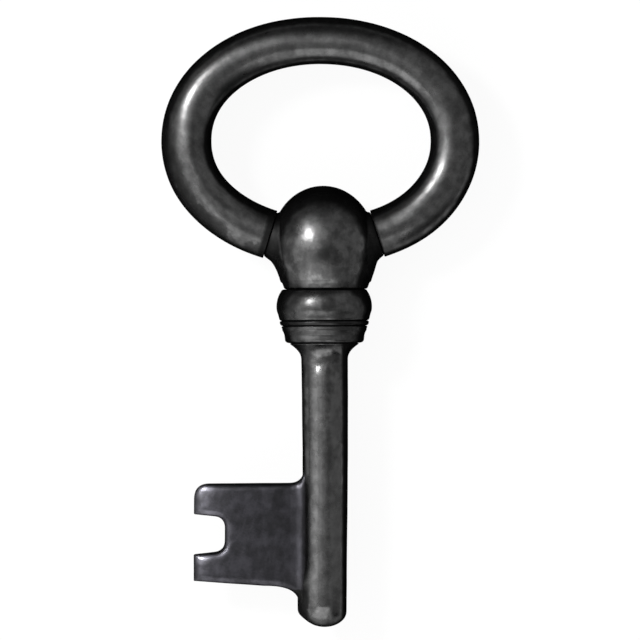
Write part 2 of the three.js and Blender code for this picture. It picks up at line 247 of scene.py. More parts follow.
# Bared metal of each piece: one pewter whose brightness differs from piece to piece as painted light
# and shade, darkest on the ring sunk between the collars and dark on the bit's flat face
BOW_METAL = (0.087, 0.087, 0.087)
KNOP_METAL = (0.093, 0.093, 0.093)
UPPER_COLLAR_METAL = (0.07, 0.07, 0.07)
RING_METAL = (0.026, 0.026, 0.026)
LOWER_COLLAR_METAL = (0.066, 0.066, 0.066)
SHANK_METAL = (0.097, 0.097, 0.097)
BIT_METAL = (0.0495, 0.0485, 0.0555)

# Noises of the patina and the grain: cells for a metre, detail and roughness
FINE_GRAIN = (3200.0, 4.0, 0.6)
COARSE_GRAIN = (900.0, 2.0, 0.5)
PITTING = (1700.0, 1.0, 0.4)
SCRATCHING = (420.0, 2.0, 0.7)
RUB_WANDER = (420.0, 3.0, 0.6)
WORN_PATCHES = (380.0, 4.0, 0.65)
FLAKES = (620.0, 4.0, 0.6)
MOTTLE = (750.0, 5.0, 0.75)
UNEVEN_POLISH = (500.0, 4.0, 0.6)

# Noise of the cast skin, whose size is an input of its tree, and the middle of any noise
SKIN_DETAIL = 1.0
SKIN_ROUGHNESS = 0.5
NOISE_MIDDLE = 0.5

# How the noises and the shelter of the recesses act: where they start and are full, and how much
PIT_LIMITS = (0.66, 0.74)
SCRATCH_LIMITS = (0.62, 0.72)
PATCH_LIMITS = (0.42, 0.58)
FLAKE_LIMITS = (0.15, 0.55)
OPEN_LIMITS = (0.62, 0.96)
MOTTLE_LIMITS = (0.28, 0.72)
MOTTLE_SHADES = (0.74, 1.22)
FINE_SHARE = 0.4
COARSE_SHARE = 0.6
SCRATCH_ANGLE = 38
SCRATCH_THINNESS = 14.0
SCRATCH_DEPTH = 0.5
RUB_WANDER_DEPTH = 0.16
RUB_EDGE = 0.1
FLAKE_DEPTH = 2.2
POLISH_SPREAD = 0.16
SHELTER_SAMPLES = 6
PITS = 0.1
SCRATCHES = 0.2
BUMP_STRENGTH = 0.35
BUMP_DEPTH = 0.03

# Camera: its place in millimetres, its distance in metres and its roll in degrees, then the side
# of its picture in pixels and the width of one pixel in millimetres
CAMERA_X = -0.54
CAMERA_Y = 0.2
CAMERA_DISTANCE = 0.9
CAMERA_ROLL = -0.4
SENSOR_WIDTH = 36.0
PICTURE = 640
PIXEL = 0.12434

# Floor, in metres, and the plain light around
FLOOR_SIZE = 6.0
FLOOR_COLOUR = (0.8, 0.8, 0.8, 1)
FLOOR_ROUGHNESS = 0.9
FLOOR_GLOW = 0.93
WORLD_LEVEL = 0.03

# Lamps: the way to each one, its distance and its two sides in metres, and how bright its face is
LAMPS = {
    "main_lamp": ((-0.545, 0.345, 0.765), 0.45, (0.078, 0.078), 85.0),
    "lamp_glow": ((-0.34, 0.38, 0.86), 0.6, (0.46, 0.44), 1.1),
    "sky_panel": ((-0.54, 0.14, 0.83), 1.6, (1.6, 2.0), 0.65),
    "left_panel": ((-0.8, -0.3, 0.52), 0.6, (0.7, 0.5), 1.25),
    "front_panel": ((-0.18, -0.84, 0.52), 0.6, (0.72, 0.68), 2.15),
    "right_panel": ((0.63, 0.14, 0.76), 1.6, (3.3, 3.4), 0.5),
}

# Fineness of the meshes
RING_POINTS = 144
PROFILE_STEP = 0.1
VOXEL = 0.1
BIT_VOXEL = 0.09
SMOOTHING = 6
BIT_SMOOTHING = 5

ring_base = SHANK_LENGTH + LOWER_COLLAR_HEIGHT
upper_base = ring_base + RING_HEIGHT
knop_base = upper_base + UPPER_COLLAR_HEIGHT
ball_station = knop_base + KNOP_TO_BALL
tip_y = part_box("shank")[0].y
axis_z = (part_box("knop")[0].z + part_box("knop")[1].z) / 2
TO_FRAME = Matrix.Translation((0, tip_y, axis_z)) @ Matrix.Scale(MM, 4)


# Outlines

def line(start, end):
    """The two ends of a straight stretch."""
    return [start, end]


def arc(centre, reach, start, end, count=16):
    """Points on an ellipse, from one angle to another in degrees."""
    angles = np.radians(np.linspace(start, end, count))
    return [(centre[0] + reach[0] * math.cos(a), centre[1] + reach[1] * math.sin(a)) for a in angles]


def bend(start, control, end, count=16):
    """Points on a quadratic curve."""
    points = []
    for t in np.linspace(0, 1, count):
        pulls = list(zip(((1 - t) ** 2, 2 * t * (1 - t), t * t), (start, control, end)))
        points.append(tuple(sum(weight * point[i] for weight, point in pulls) for i in (0, 1)))
    return points


def corner(before, at, after, distance, count=12):
    """Points that round a corner, starting and ending a distance from it."""
    at, before, after = Vector(at), Vector(before), Vector(after)
    start = at + (before - at).normalized() * distance
    end = at + (after - at).normalized() * distance
    return bend(tuple(start), tuple(at), tuple(end), count)


def even_points(points, step, closed=False):
    """The same outline with points an even step apart."""
    path = np.array(points + points[:1] if closed else points, float)
    lengths = np.r_[0, np.cumsum(np.linalg.norm(np.diff(path, axis=0), axis=1))]
    keep = np.r_[True, np.diff(lengths) > 1e-9]
    path, lengths = path[keep], lengths[keep]
    count = max(2, round(lengths[-1] / step))
    places = np.linspace(0, lengths[-1], count + 1)
    even = np.c_[np.interp(places, lengths, path[:, 0]), np.interp(places, lengths, path[:, 1])]
    return even[:-1] if closed else even


def softened(points, passes, closed=False):
    """An outline whose corners are rounded a little, as on a casting."""
    points = points.copy()
    for _ in range(passes):
        if closed:
            points = (np.roll(points, 1, 0) + 2 * points + np.roll(points, -1, 0)) / 4
        else:
            points[1:-1] = (points[:-2] + 2 * points[1:-1] + points[2:]) / 4
    return points


# Meshes

def mesh_object(name, vertices, faces):
    """A new piece with its doubles merged and its faces pointing out."""
    mesh = bpy.data.meshes.new(name)
    mesh.from_pydata([tuple(v) for v in vertices], [], faces)
    piece = bpy.data.objects.new(name, mesh)
    bpy.context.scene.collection.objects.link(piece)
    shell = bmesh.new()
    shell.from_mesh(mesh)
    bmesh.ops.remove_doubles(shell, verts=shell.verts, dist=1e-6)
    bmesh.ops.recalc_face_normals(shell, faces=shell.faces)
    shell.to_mesh(mesh)
    shell.free()
    return piece


def turned(name, profile, closed=False, base=0.0, passes=3):
    """A profile of (radius, station) turned about the shank's axis."""
    profile = softened(even_points(profile, PROFILE_STEP, closed), passes, closed)
    angles = np.linspace(0, 2 * math.pi, RING_POINTS, endpoint=False)
    vertices = []
    for radius, station in profile:
        vertices += [(radius * math.sin(a), base + station, radius * math.cos(a)) for a in angles]
    rings = len(profile)
    faces = []
    for ring in range(rings if closed else rings - 1):
        low, high = ring * RING_POINTS, (ring + 1) % rings * RING_POINTS
        for i in range(RING_POINTS):
            j = (i + 1) % RING_POINTS
            faces.append((low + i, low + j, high + j, high + i))
    return mesh_object(name, vertices, faces)


def reshaped(piece, move):
    """Moves every vertex by a function of the array of places."""
    places = np.zeros(len(piece.data.vertices) * 3)
    piece.data.vertices.foreach_get("co", places)
    piece.data.vertices.foreach_set("co", move(places.reshape(-1, 3)).ravel())
    piece.data.update()
    return piece


def toned(piece, tone):
    """Keeps a tone for every vertex: below 0 for black and above 0 for lighter metal, mostly painted
    shade and painted light.
    """
    places = np.zeros(len(piece.data.vertices) * 3)
    piece.data.vertices.foreach_get("co", places)
    layer = piece.data.attributes.new(TONE, "FLOAT", "POINT")
    layer.data.foreach_set("value", tone(places.reshape(-1, 3)))
    return piece


def joined(name, pieces):
    """Several closed meshes in one object."""
    both = bmesh.new()
    for piece in pieces:
        both.from_mesh(piece.data)
        bpy.data.objects.remove(piece)
    mesh = bpy.data.meshes.new(name)
    both.to_mesh(mesh)
    both.free()
    result = bpy.data.objects.new(name, mesh)
    bpy.context.scene.collection.objects.link(result)
    return result


def baked(piece):
    """Turns a piece's modifiers into a plain mesh."""
    bpy.context.view_layer.update()
    evaluated = piece.evaluated_get(bpy.context.evaluated_depsgraph_get())
    mesh = bpy.data.meshes.new_from_object(evaluated)
    piece.modifiers.clear()
    piece.data = mesh
    return piece


def cast_whole(piece, smoothing=SMOOTHING, voxel=VOXEL):
    """Melts the overlapping shapes of a piece into one skin with soft inner corners."""
    remesh = piece.modifiers.new("Skin", "REMESH")
    remesh.mode = "VOXEL"
    remesh.voxel_size = voxel
    smooth = piece.modifiers.new("Soften", "SMOOTH")
    smooth.factor = 0.5
    smooth.iterations = smoothing
    return baked(piece)


def step_up(value, low, high):
    """A smooth step from 0 to 1 between two values."""
    share = np.clip((value - low) / (high - low), 0, 1)
    return share * share * (3 - 2 * share)


def patch(places, centre, reach, strength):
    """A soft patch on the front, full near its centre and gone a little past its reach."""
    away = ((places[:, 0] - centre[0]) / reach[0]) ** 2 + ((places[:, 1] - centre[1]) / reach[1]) ** 2
    return strength * (1 - step_up(away, *PATCH_FADE)) * (places[:, 2] > 0)


def band(value, middle, width, strength=1.0):
    """A soft band, full in its middle and fading out on both sides."""
    return strength * np.exp(-((value - middle) / width) ** 2)


def spot(x, y, centre, reach, strength):
    """A soft spot, full at its centre and fading out along both ways."""
    return strength * band(x, centre[0], reach[0]) * band(y, centre[1], reach[1])


# Node trees

def new_tree(name, kind, inputs, outputs):
    """A node tree with named inputs and outputs, and the two nodes that hold them."""
    tree = bpy.data.node_groups.new(name, kind)
    for label, socket_kind, value in inputs:
        socket = tree.interface.new_socket(label, in_out="INPUT", socket_type=socket_kind)
        if value is not None:
            socket.default_value = value
    for label, socket_kind in outputs:
        tree.interface.new_socket(label, in_out="OUTPUT", socket_type=socket_kind)
    return tree, tree.nodes.new("NodeGroupInput"), tree.nodes.new("NodeGroupOutput")


def feed(tree, value, socket):
    """Gives a socket a plain number or the output of another node."""
    if isinstance(value, (int, float)):
        socket.default_value = value
    else:
        tree.links.new(value, socket)


def math_node(tree, operation, first, second=None, clamp=False):
    """One step of arithmetic on numbers or outputs."""
    node = tree.nodes.new("ShaderNodeMath")
    node.operation = operation
    node.use_clamp = clamp
    feed(tree, first, node.inputs[0])
    if second is not None:
        feed(tree, second, node.inputs[1])
    return node.outputs[0]


def plus(tree, first, second, clamp=False):
    return math_node(tree, "ADD", first, second, clamp)


def minus(tree, first, second):
    return math_node(tree, "SUBTRACT", first, second)


def times(tree, first, second, clamp=False):
    return math_node(tree, "MULTIPLY", first, second, clamp)


def noise(tree, vector, scale, detail, roughness):
    """The level of a noise, mostly near its middle."""
    node = tree.nodes.new("ShaderNodeTexNoise")
    node.inputs["Detail"].default_value = detail
    node.inputs["Roughness"].default_value = roughness
    tree.links.new(vector, node.inputs["Vector"])
    feed(tree, scale, node.inputs["Scale"])
    return node.outputs["Fac"]


def swing(tree, vector, scale, detail, roughness):
    """Noise that swings about 0."""
    return minus(tree, noise(tree, vector, scale, detail, roughness), NOISE_MIDDLE)


def ramp(tree, value, low, high, to_low=0.0, to_high=1.0):
    """A smooth change from one level to another while a value goes from low to high."""
    node = tree.nodes.new("ShaderNodeMapRange")
    node.interpolation_type = "SMOOTHSTEP"
    tree.links.new(value, node.inputs["Value"])
    ends = {"From Min": low, "From Max": high, "To Min": to_low, "To Max": to_high}
    for label, number in ends.items():
        feed(tree, number, node.inputs[label])
    return node.outputs["Result"]


# Geometry Nodes: the uneven skin of a casting, and the oval rod

def end_tree(tree, source, target, geometry):
    """Makes the result of a tree real and gives it its material."""
    link = tree.links.new
    whole = tree.nodes.new("GeometryNodeRealizeInstances")
    link(geometry, whole.inputs["Geometry"])
    painted = tree.nodes.new("GeometryNodeSetMaterial")
    link(whole.outputs["Geometry"], painted.inputs["Geometry"])
    link(source.outputs["Material"], painted.inputs["Material"])
    link(painted.outputs["Geometry"], target.inputs["Geometry"])


def build_cast_skin():
    """Swells and dimples a surface a little and gives it its material."""
    tree, source, target = new_tree(
        "cast_skin",
        "GeometryNodeTree",
        [
            ("Geometry", GEOMETRY, None),
            ("Swell", FLOAT, 0.03),
            ("Swell Size", FLOAT, 4.0),
            ("Dimple", FLOAT, 0.008),
            ("Dimple Size", FLOAT, 0.7),
            ("Material", MATERIAL, None),
        ],
        [("Geometry", GEOMETRY)],
    )
    nodes, link = tree.nodes, tree.links.new
    place = nodes.new("GeometryNodeInputPosition").outputs["Position"]
    heights = []
    for depth, size in (("Swell", "Swell Size"), ("Dimple", "Dimple Size")):
        scale = math_node(tree, "DIVIDE", 1.0, source.outputs[size])
        cloud = swing(tree, place, scale, SKIN_DETAIL, SKIN_ROUGHNESS)
        heights.append(times(tree, cloud, source.outputs[depth]))
    outward = nodes.new("ShaderNodeVectorMath")
    outward.operation = "SCALE"
    link(nodes.new("GeometryNodeInputNormal").outputs["Normal"], outward.inputs[0])
    link(plus(tree, *heights), outward.inputs["Scale"])
    moved = nodes.new("GeometryNodeSetPosition")
    link(source.outputs["Geometry"], moved.inputs["Geometry"])
    link(outward.outputs[0], moved.inputs["Offset"])
    smooth = nodes.new("GeometryNodeSetShadeSmooth")
    link(moved.outputs["Geometry"], smooth.inputs["Geometry"])
    end_tree(tree, source, target, smooth.outputs["Geometry"])
    return tree


def set_inputs(modifier, values):
    """Sets a Geometry Nodes modifier's inputs by their names."""
    for item in modifier.node_group.interface.items_tree:
        if item.item_type == "SOCKET" and item.in_out == "INPUT" and item.name in values:
            modifier[item.identifier] = values[item.name]


def finished(piece, name, node, material, swell=0.03, swell_size=4.0):
    """Gives a piece its cast skin, puts it in the frame and lets it stand for its CAD node.
    The swells are in millimetres."""
    modifier = piece.modifiers.new("Cast skin", "NODES")
    modifier.node_group = cast_skin
    set_inputs(modifier, {"Material": material, "Swell": swell, "Swell Size": swell_size})
    baked(piece)
    piece.data.transform(TO_FRAME)
    piece.data.name = name
    piece.name = name
    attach(piece, BODY)
    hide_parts(node)
    return piece


# Shader groups

def build_cast_grain():
    """Fine sand grain, pits and faint handling scratches, as a height."""
    group, source, target = new_tree(
        "cast_grain",
        "ShaderNodeTree",
        [
            ("Vector", VECTOR, None),
            ("Grain", FLOAT, 1.0),
            ("Pits", FLOAT, 1.0),
            ("Scratches", FLOAT, 1.0),
        ],
        [("Height", FLOAT)],
    )
    link = group.links.new
    place = source.outputs["Vector"]
    fine = noise(group, place, *FINE_GRAIN)
    coarse = noise(group, place, *COARSE_GRAIN)
    pits = ramp(group, noise(group, place, *PITTING), *PIT_LIMITS)
    slanted = group.nodes.new("ShaderNodeMapping")
    slanted.inputs["Rotation"].default_value = (0.0, 0.0, math.radians(SCRATCH_ANGLE))
    slanted.inputs["Scale"].default_value = (1.0, SCRATCH_THINNESS, 1.0)
    link(place, slanted.inputs["Vector"])
    scratches = ramp(group, noise(group, slanted.outputs["Vector"], *SCRATCHING), *SCRATCH_LIMITS)
    height = plus(group, times(group, fine, FINE_SHARE), times(group, coarse, COARSE_SHARE))
    height = times(group, height, source.outputs["Grain"])
    height = minus(group, height, times(group, pits, source.outputs["Pits"]))
    scored = times(group, scratches, source.outputs["Scratches"])
    height = minus(group, height, times(group, scored, SCRATCH_DEPTH))
    link(height, target.inputs["Height"])
    return group


def build_rubbed_and_lit_faces():
    """Where the metal shows through the black, partly rubbed off by handling and partly painted light
    and shade: most on the front and back, while the flanks stay black as painted shade at the rims;
    lighter as painted light on slopes that face the tip of the key and darker as painted shade on
    those that face the bow; but neither in the recesses, where the patina stays, nor where the tone
    keeps it black."""
    group, source, target = new_tree(
        "rubbed_and_lit_faces",
        "ShaderNodeTree",
        [
            ("Vector", VECTOR, None),
            ("Normal", VECTOR, None),
            ("Openness", FLOAT, 1.0),
            ("Tone", FLOAT, 0.0),
            ("Side Limit", FLOAT, 0.6),
            ("Tipward Light", FLOAT, 0.3),
            ("Bowward Black", FLOAT, 0.2),
            ("Patchiness", FLOAT, 0.3),
        ],
        [("Rub And Light", FLOAT)],
    )
    link = group.links.new
    place = source.outputs["Vector"]
    parts = group.nodes.new("ShaderNodeSeparateXYZ")
    link(source.outputs["Normal"], parts.inputs[0])
    # Front and back faces show the metal and the flanks stay black, partly as painted shade at the rims
    facing = math_node(group, "ABSOLUTE", parts.outputs["Z"])
    wander = swing(group, place, *RUB_WANDER)
    facing = plus(group, facing, times(group, wander, RUB_WANDER_DEPTH))
    # Painted light on slopes that face the tip, and painted shade on those that face the bow
    tipward = math_node(group, "MINIMUM", parts.outputs["Y"], 0.0)
    facing = minus(group, facing, times(group, tipward, source.outputs["Tipward Light"]))
    bowward = math_node(group, "MAXIMUM", parts.outputs["Y"], 0.0)
    facing = minus(group, facing, times(group, bowward, source.outputs["Bowward Black"]))
    low = minus(group, source.outputs["Side Limit"], RUB_EDGE)
    high = plus(group, source.outputs["Side Limit"], RUB_EDGE)
    face = ramp(group, facing, low, high)
    opened = ramp(group, source.outputs["Openness"], *OPEN_LIMITS)
    patches = ramp(group, noise(group, place, *WORN_PATCHES), *PATCH_LIMITS)
    kept = times(group, minus(group, 1.0, patches), source.outputs["Patchiness"])
    rub_and_light = times(group, face, opened)
    rub_and_light = times(group, rub_and_light, minus(group, 1.0, kept))
    # The tone's black, mostly painted shade, with ragged edges
    black = math_node(group, "MAXIMUM", times(group, source.outputs["Tone"], -1.0), 0.0)
    flaky = swing(group, place, *FLAKES)
    ragged = plus(group, black, times(group, flaky, FLAKE_DEPTH))
    black = times(group, black, ramp(group, ragged, *FLAKE_LIMITS))
    rub_and_light = times(group, rub_and_light, minus(group, 1.0, black), clamp=True)
    link(rub_and_light, target.inputs["Rub And Light"])
    return group


def build_pewter_tone():
    """The colour and roughness between black patina and rubbed pewter, brightened by the tone's painted
    light.
    """
    group, source, target = new_tree(
        "pewter_tone",
        "ShaderNodeTree",
        [
            ("Vector", VECTOR, None),
            ("Rub And Light", FLOAT, 1.0),
            ("Tone", FLOAT, 0.0),
            ("Patina", COLOUR, (0.012, 0.012, 0.012, 1)),
            ("Metal", COLOUR, (0.09, 0.09, 0.09, 1)),
            ("Rubbed Roughness", FLOAT, 0.36),
            ("Patina Roughness", FLOAT, 0.5),
        ],
        [("Color", COLOUR), ("Roughness", FLOAT)],
    )
    link = group.links.new
    place, rub_and_light = source.outputs["Vector"], source.outputs["Rub And Light"]
    mottle = ramp(group, noise(group, place, *MOTTLE), *MOTTLE_LIMITS, *MOTTLE_SHADES)
    mix = group.nodes.new("ShaderNodeMix")
    mix.data_type = "RGBA"
    link(rub_and_light, mix.inputs["Factor"])
    link(source.outputs["Patina"], mix.inputs["A"])
    link(source.outputs["Metal"], mix.inputs["B"])
    shade = group.nodes.new("ShaderNodeVectorMath")
    shade.operation = "SCALE"
    link(mix.outputs["Result"], shade.inputs[0])
    # The tone's lighter side brightens the colour, mostly as painted light
    brightness = plus(group, 1.0, math_node(group, "MAXIMUM", source.outputs["Tone"], 0.0))
    link(times(group, mottle, brightness), shade.inputs["Scale"])
    link(shade.outputs[0], target.inputs["Color"])
    black_level, rubbed_level = source.outputs["Patina Roughness"], source.outputs["Rubbed Roughness"]
    rough = ramp(group, rub_and_light, 0.0, 1.0, black_level, rubbed_level)
    spread = times(group, swing(group, place, *UNEVEN_POLISH), POLISH_SPREAD)
    link(plus(group, rough, spread), target.inputs["Roughness"])
    return group


def group_node(tree, group):
    """Places a shader group in a material."""
    node = tree.nodes.new("ShaderNodeGroup")
    node.node_tree = group
    return node


def pewter(name, metal, side_limit=0.6, bowward=0.2, patchiness=0.3, roughness=0.29, shelter=1.6):
    """Blackened pewter whose rubbed faces show the metal, with light and shade painted on by the tone
    and by the way each face turns. It stays black in recesses that are narrower than about the
    shelter, in millimetres."""
    material = bpy.data.materials.new(name)
    material.use_nodes = True
    tree = material.node_tree
    link = tree.links.new
    shader = tree.nodes["Principled BSDF"]
    shader.inputs["Metallic"].default_value = 1.0
    shader.inputs["Specular Tint"].default_value = (0.0, 0.0, 0.0, 1)
    place = tree.nodes.new("ShaderNodeTexCoord")
    nearby = tree.nodes.new("ShaderNodeAmbientOcclusion")
    nearby.samples = SHELTER_SAMPLES
    nearby.inputs["Distance"].default_value = shelter * MM
    shade = tree.nodes.new("ShaderNodeAttribute")
    shade.attribute_name = TONE
    rubbed_and_lit = group_node(tree, rubbed_and_lit_faces)
    link(shade.outputs["Fac"], rubbed_and_lit.inputs["Tone"])
    rubbed_and_lit.inputs["Side Limit"].default_value = side_limit
    rubbed_and_lit.inputs["Bowward Black"].default_value = bowward
    rubbed_and_lit.inputs["Patchiness"].default_value = patchiness
    link(place.outputs["Object"], rubbed_and_lit.inputs["Vector"])
    link(place.outputs["Normal"], rubbed_and_lit.inputs["Normal"])
    link(nearby.outputs["AO"], rubbed_and_lit.inputs["Openness"])
    tone = group_node(tree, pewter_tone)
    tone.inputs["Metal"].default_value = (*metal, 1)
    tone.inputs["Rubbed Roughness"].default_value = roughness
    link(place.outputs["Object"], tone.inputs["Vector"])
    link(rubbed_and_lit.outputs["Rub And Light"], tone.inputs["Rub And Light"])
    link(shade.outputs["Fac"], tone.inputs["Tone"])
    surface = group_node(tree, cast_grain)
    surface.inputs["Pits"].default_value = PITS
    surface.inputs["Scratches"].default_value = SCRATCHES
    link(place.outputs["Object"], surface.inputs["Vector"])
    bump = tree.nodes.new("ShaderNodeBump")
    bump.inputs["Strength"].default_value = BUMP_STRENGTH
    bump.inputs["Distance"].default_value = BUMP_DEPTH * MM
    link(surface.outputs["Height"], bump.inputs["Height"])
    link(tone.outputs["Color"], shader.inputs["Base Color"])
    link(tone.outputs["Roughness"], shader.inputs["Roughness"])
    link(bump.outputs["Normal"], shader.inputs["Normal"])
    return material


# Pieces

def oval_place(x):
    """Height of the bow's middle line above its centre, at a distance from the axis."""
    return BOW_HALF_HEIGHT * (1 - (x / BOW_HALF_WIDTH) ** BOW_FULLNESS) ** (1 / BOW_FULLNESS)


def seam_angle():
    """The slope of the rod where it meets its boss."""
    rise = (BOW_HALF_HEIGHT / BOW_HALF_WIDTH) ** BOW_FULLNESS
    return math.atan(rise * (SEAM_FROM_AXIS / oval_place(SEAM_FROM_AXIS)) ** (BOW_FULLNESS - 1))


def build_oval_rod():
    """A round rod along an oval that is open at its foot."""
    tree, source, target = new_tree(
        "oval_rod",
        "GeometryNodeTree",
        [
            ("Geometry", GEOMETRY, None),
            ("Half Width", FLOAT, 1.0),
            ("Half Height", FLOAT, 1.0),
            ("Fullness", FLOAT, 2.0),
            ("Rod Radius", FLOAT, 1.0),
            ("Top Thinning", FLOAT, 0.0),
            ("Left Fullness", FLOAT, 0.0),
            ("Start Angle", FLOAT, 0.0),
            ("Steps", INTEGER, 256),
            ("Round", INTEGER, 96),
            ("Material", MATERIAL, None),
        ],
        [("Geometry", GEOMETRY)],
    )
    nodes, link = tree.nodes, tree.links.new
    path = nodes.new("GeometryNodeCurvePrimitiveLine")
    spaced = nodes.new("GeometryNodeResampleCurve")
    link(path.outputs["Curve"], spaced.inputs["Curve"])
    link(source.outputs["Steps"], spaced.inputs["Count"])
    along = nodes.new("GeometryNodeSplineParameter").outputs["Factor"]
    start = source.outputs["Start Angle"]
    sweep = minus(tree, math.pi, times(tree, start, 2.0))
    angle = plus(tree, start, times(tree, along, sweep))
    across, up = math_node(tree, "COSINE", angle), math_node(tree, "SINE", angle)
    fullness = source.outputs["Fullness"]
    parts = []
    for direction, reach in ((across, "Half Width"), (up, "Half Height")):
        share = math_node(tree, "DIVIDE", math_node(tree, "ABSOLUTE", direction), source.outputs[reach])
        parts.append(math_node(tree, "POWER", share, fullness))
    radius = math_node(tree, "POWER", plus(tree, *parts), math_node(tree, "DIVIDE", -1.0, fullness))
    spot_on_oval = nodes.new("ShaderNodeCombineXYZ")
    link(times(tree, radius, across), spot_on_oval.inputs["X"])
    link(times(tree, radius, up), spot_on_oval.inputs["Y"])
    thinner = times(tree, math_node(tree, "MAXIMUM", up, 0.0), source.outputs["Top Thinning"])
    fuller = times(tree, math_node(tree, "MINIMUM", across, 0.0), source.outputs["Left Fullness"])
    change = plus(tree, thinner, fuller)
    thick = nodes.new("GeometryNodeSetCurveRadius")
    link(spaced.outputs["Curve"], thick.inputs["Curve"])
    link(minus(tree, source.outputs["Rod Radius"], change), thick.inputs["Radius"])
    bent = nodes.new("GeometryNodeSetPosition")
    link(thick.outputs["Curve"], bent.inputs["Geometry"])
    link(spot_on_oval.outputs["Vector"], bent.inputs["Position"])
    section = nodes.new("GeometryNodeCurvePrimitiveCircle")
    section.inputs["Radius"].default_value = 1.0
    link(source.outputs["Round"], section.inputs["Resolution"])
    rod = nodes.new("GeometryNodeCurveToMesh")
    rod.inputs["Fill Caps"].default_value = True
    link(bent.outputs["Geometry"], rod.inputs["Curve"])
    link(nodes.new("GeometryNodeInputRadius").outputs["Radius"], rod.inputs["Scale"])
    link(section.outputs["Curve"], rod.inputs["Profile Curve"])
    end_tree(tree, source, target, rod.outputs["Mesh"])
    return tree


def around_bow(places):
    """The way that the oval faces at each place, and how far out across the rod the place lies."""
    x, y = places[:, 0], places[:, 1]
    power = BOW_FULLNESS - 1
    slope_x = np.sign(x) * np.abs(x) ** power / BOW_HALF_WIDTH ** BOW_FULLNESS
    slope_y = np.sign(y) * np.abs(y) ** power / BOW_HALF_HEIGHT ** BOW_FULLNESS
    spread = (np.abs(x) / BOW_HALF_WIDTH) ** BOW_FULLNESS
    spread += (np.abs(y) / BOW_HALF_HEIGHT) ** BOW_FULLNESS
    outward = np.hypot(x, y) * (1 - spread ** (-1 / BOW_FULLNESS)) / BOW_ROD_RADIUS
    return np.arctan2(slope_y, slope_x), np.clip(outward, -1, 1)


def flat_highlit_streak(facing, outward):
    """Where the inside of the right limb is worn a little flatter and carries a painted highlight."""
    along = band(facing, math.radians(STREAK_FACING), math.radians(STREAK_SPREAD))
    return along * band(outward, STREAK_ACROSS, STREAK_WIDTH)


def bow_tone(places):
    """Black as painted shade, with some patina, where the rod's ends meet the knop, black as painted
    shade along the rim and the inside of the left limb, black in front at its foot, and a painted
    highlight along the inside of the right limb."""
    drop, turn = oval_place(SEAM_FROM_AXIS), seam_angle()
    x, y = places[:, 0], places[:, 1]
    # Painted shade, with some patina, where the rod's ends meet the knop's bosses
    past_seam = (np.abs(x) - SEAM_FROM_AXIS) * math.cos(turn) + (y + drop) * math.sin(turn)
    right = (1 - step_up(past_seam, *SEAM_BLACK_RIGHT)) * (y < 0)
    left = (1 - step_up(past_seam, *SEAM_BLACK_LEFT)) * (y < 0) * (x < 0)
    facing, outward = around_bow(places)
    # Painted shade along the left limb's rim and inside
    left_limb = step_up(-x, *LEFT_LIMB_ACROSS) * step_up(LEFT_LIMB_TOP - y, 0.0, LEFT_LIMB_FADE)
    rim = LEFT_RIM_BLACK * left_limb * step_up(outward, *LEFT_RIM_ACROSS)
    inside = left_limb * band(outward, *LEFT_INSIDE_BLACK)
    foot = patch(places, *LEFT_FOOT_BLACK)
    # Painted highlight along the inside of the right limb
    brightness = STREAK_HIGHLIGHT * flat_highlit_streak(facing, outward) * (places[:, 2] > 0)
    return brightness - np.maximum.reduce([right, left, rim, inside, foot])


def make_bow(material):
    """The oval rod with eased ends, settled on the knop a little out of true."""
    piece = mesh_object("bow_rod", [], [])
    modifier = piece.modifiers.new("Oval rod", "NODES")
    modifier.node_group = build_oval_rod()
    drop = oval_place(SEAM_FROM_AXIS)
    seam = math.atan2(-drop, SEAM_FROM_AXIS)
    set_inputs(modifier, {
        "Half Width": BOW_HALF_WIDTH,
        "Half Height": BOW_HALF_HEIGHT,
        "Fullness": BOW_FULLNESS,
        "Rod Radius": BOW_ROD_RADIUS,
        "Top Thinning": BOW_TOP_THINNING,
        "Left Fullness": BOW_LEFT_FULLNESS,
        "Start Angle": seam,
        "Material": material,
    })
    baked(piece)
    edge = piece.modifiers.new("Seam edge", "BEVEL")
    edge.limit_method = "ANGLE"
    edge.angle_limit = math.radians(SEAM_EDGE_ANGLE)
    edge.width = SEAM_EDGE
    edge.segments = SEAM_EDGE_STEPS
    baked(piece)

    def settle(places):
        """Moves the crest inwards, flattens the worn stretch, and turns and shifts the oval."""
        angle = np.arctan2(places[:, 1], np.abs(places[:, 0]))
        share = step_up(angle - seam, *np.radians(BOW_SETTLE_ANGLES))
        x, y = places[:, 0].copy(), places[:, 1].copy()
        facing, outward = around_bow(places)
        sway = np.sin(2 * (facing - math.radians(BOW_SWING_MIDDLE)))
        sway *= step_up(-x, 0, BOW_HALF_WIDTH / 3)
        places[:, 2] *= 1 - (BOW_CREST_INWARD + BOW_LEFT_SWING * sway) * share * outward
        places[:, 2] *= 1 - STREAK_FLATTENING * flat_highlit_streak(facing, outward)
        places[:, 0] += share * (BOW_SHIFT - BOW_TURN * y)
        places[:, 1] += share * BOW_TURN * x
        return places

    toned(piece, bow_tone)
    reshaped(piece, settle)
    centre = ball_station + SEAM_ABOVE_BALL + drop
    piece.data.transform(Matrix.Translation((0, centre, 0)))
    return finished(piece, "bow_oval", "bow", material, swell=0.05, swell_size=7.0)


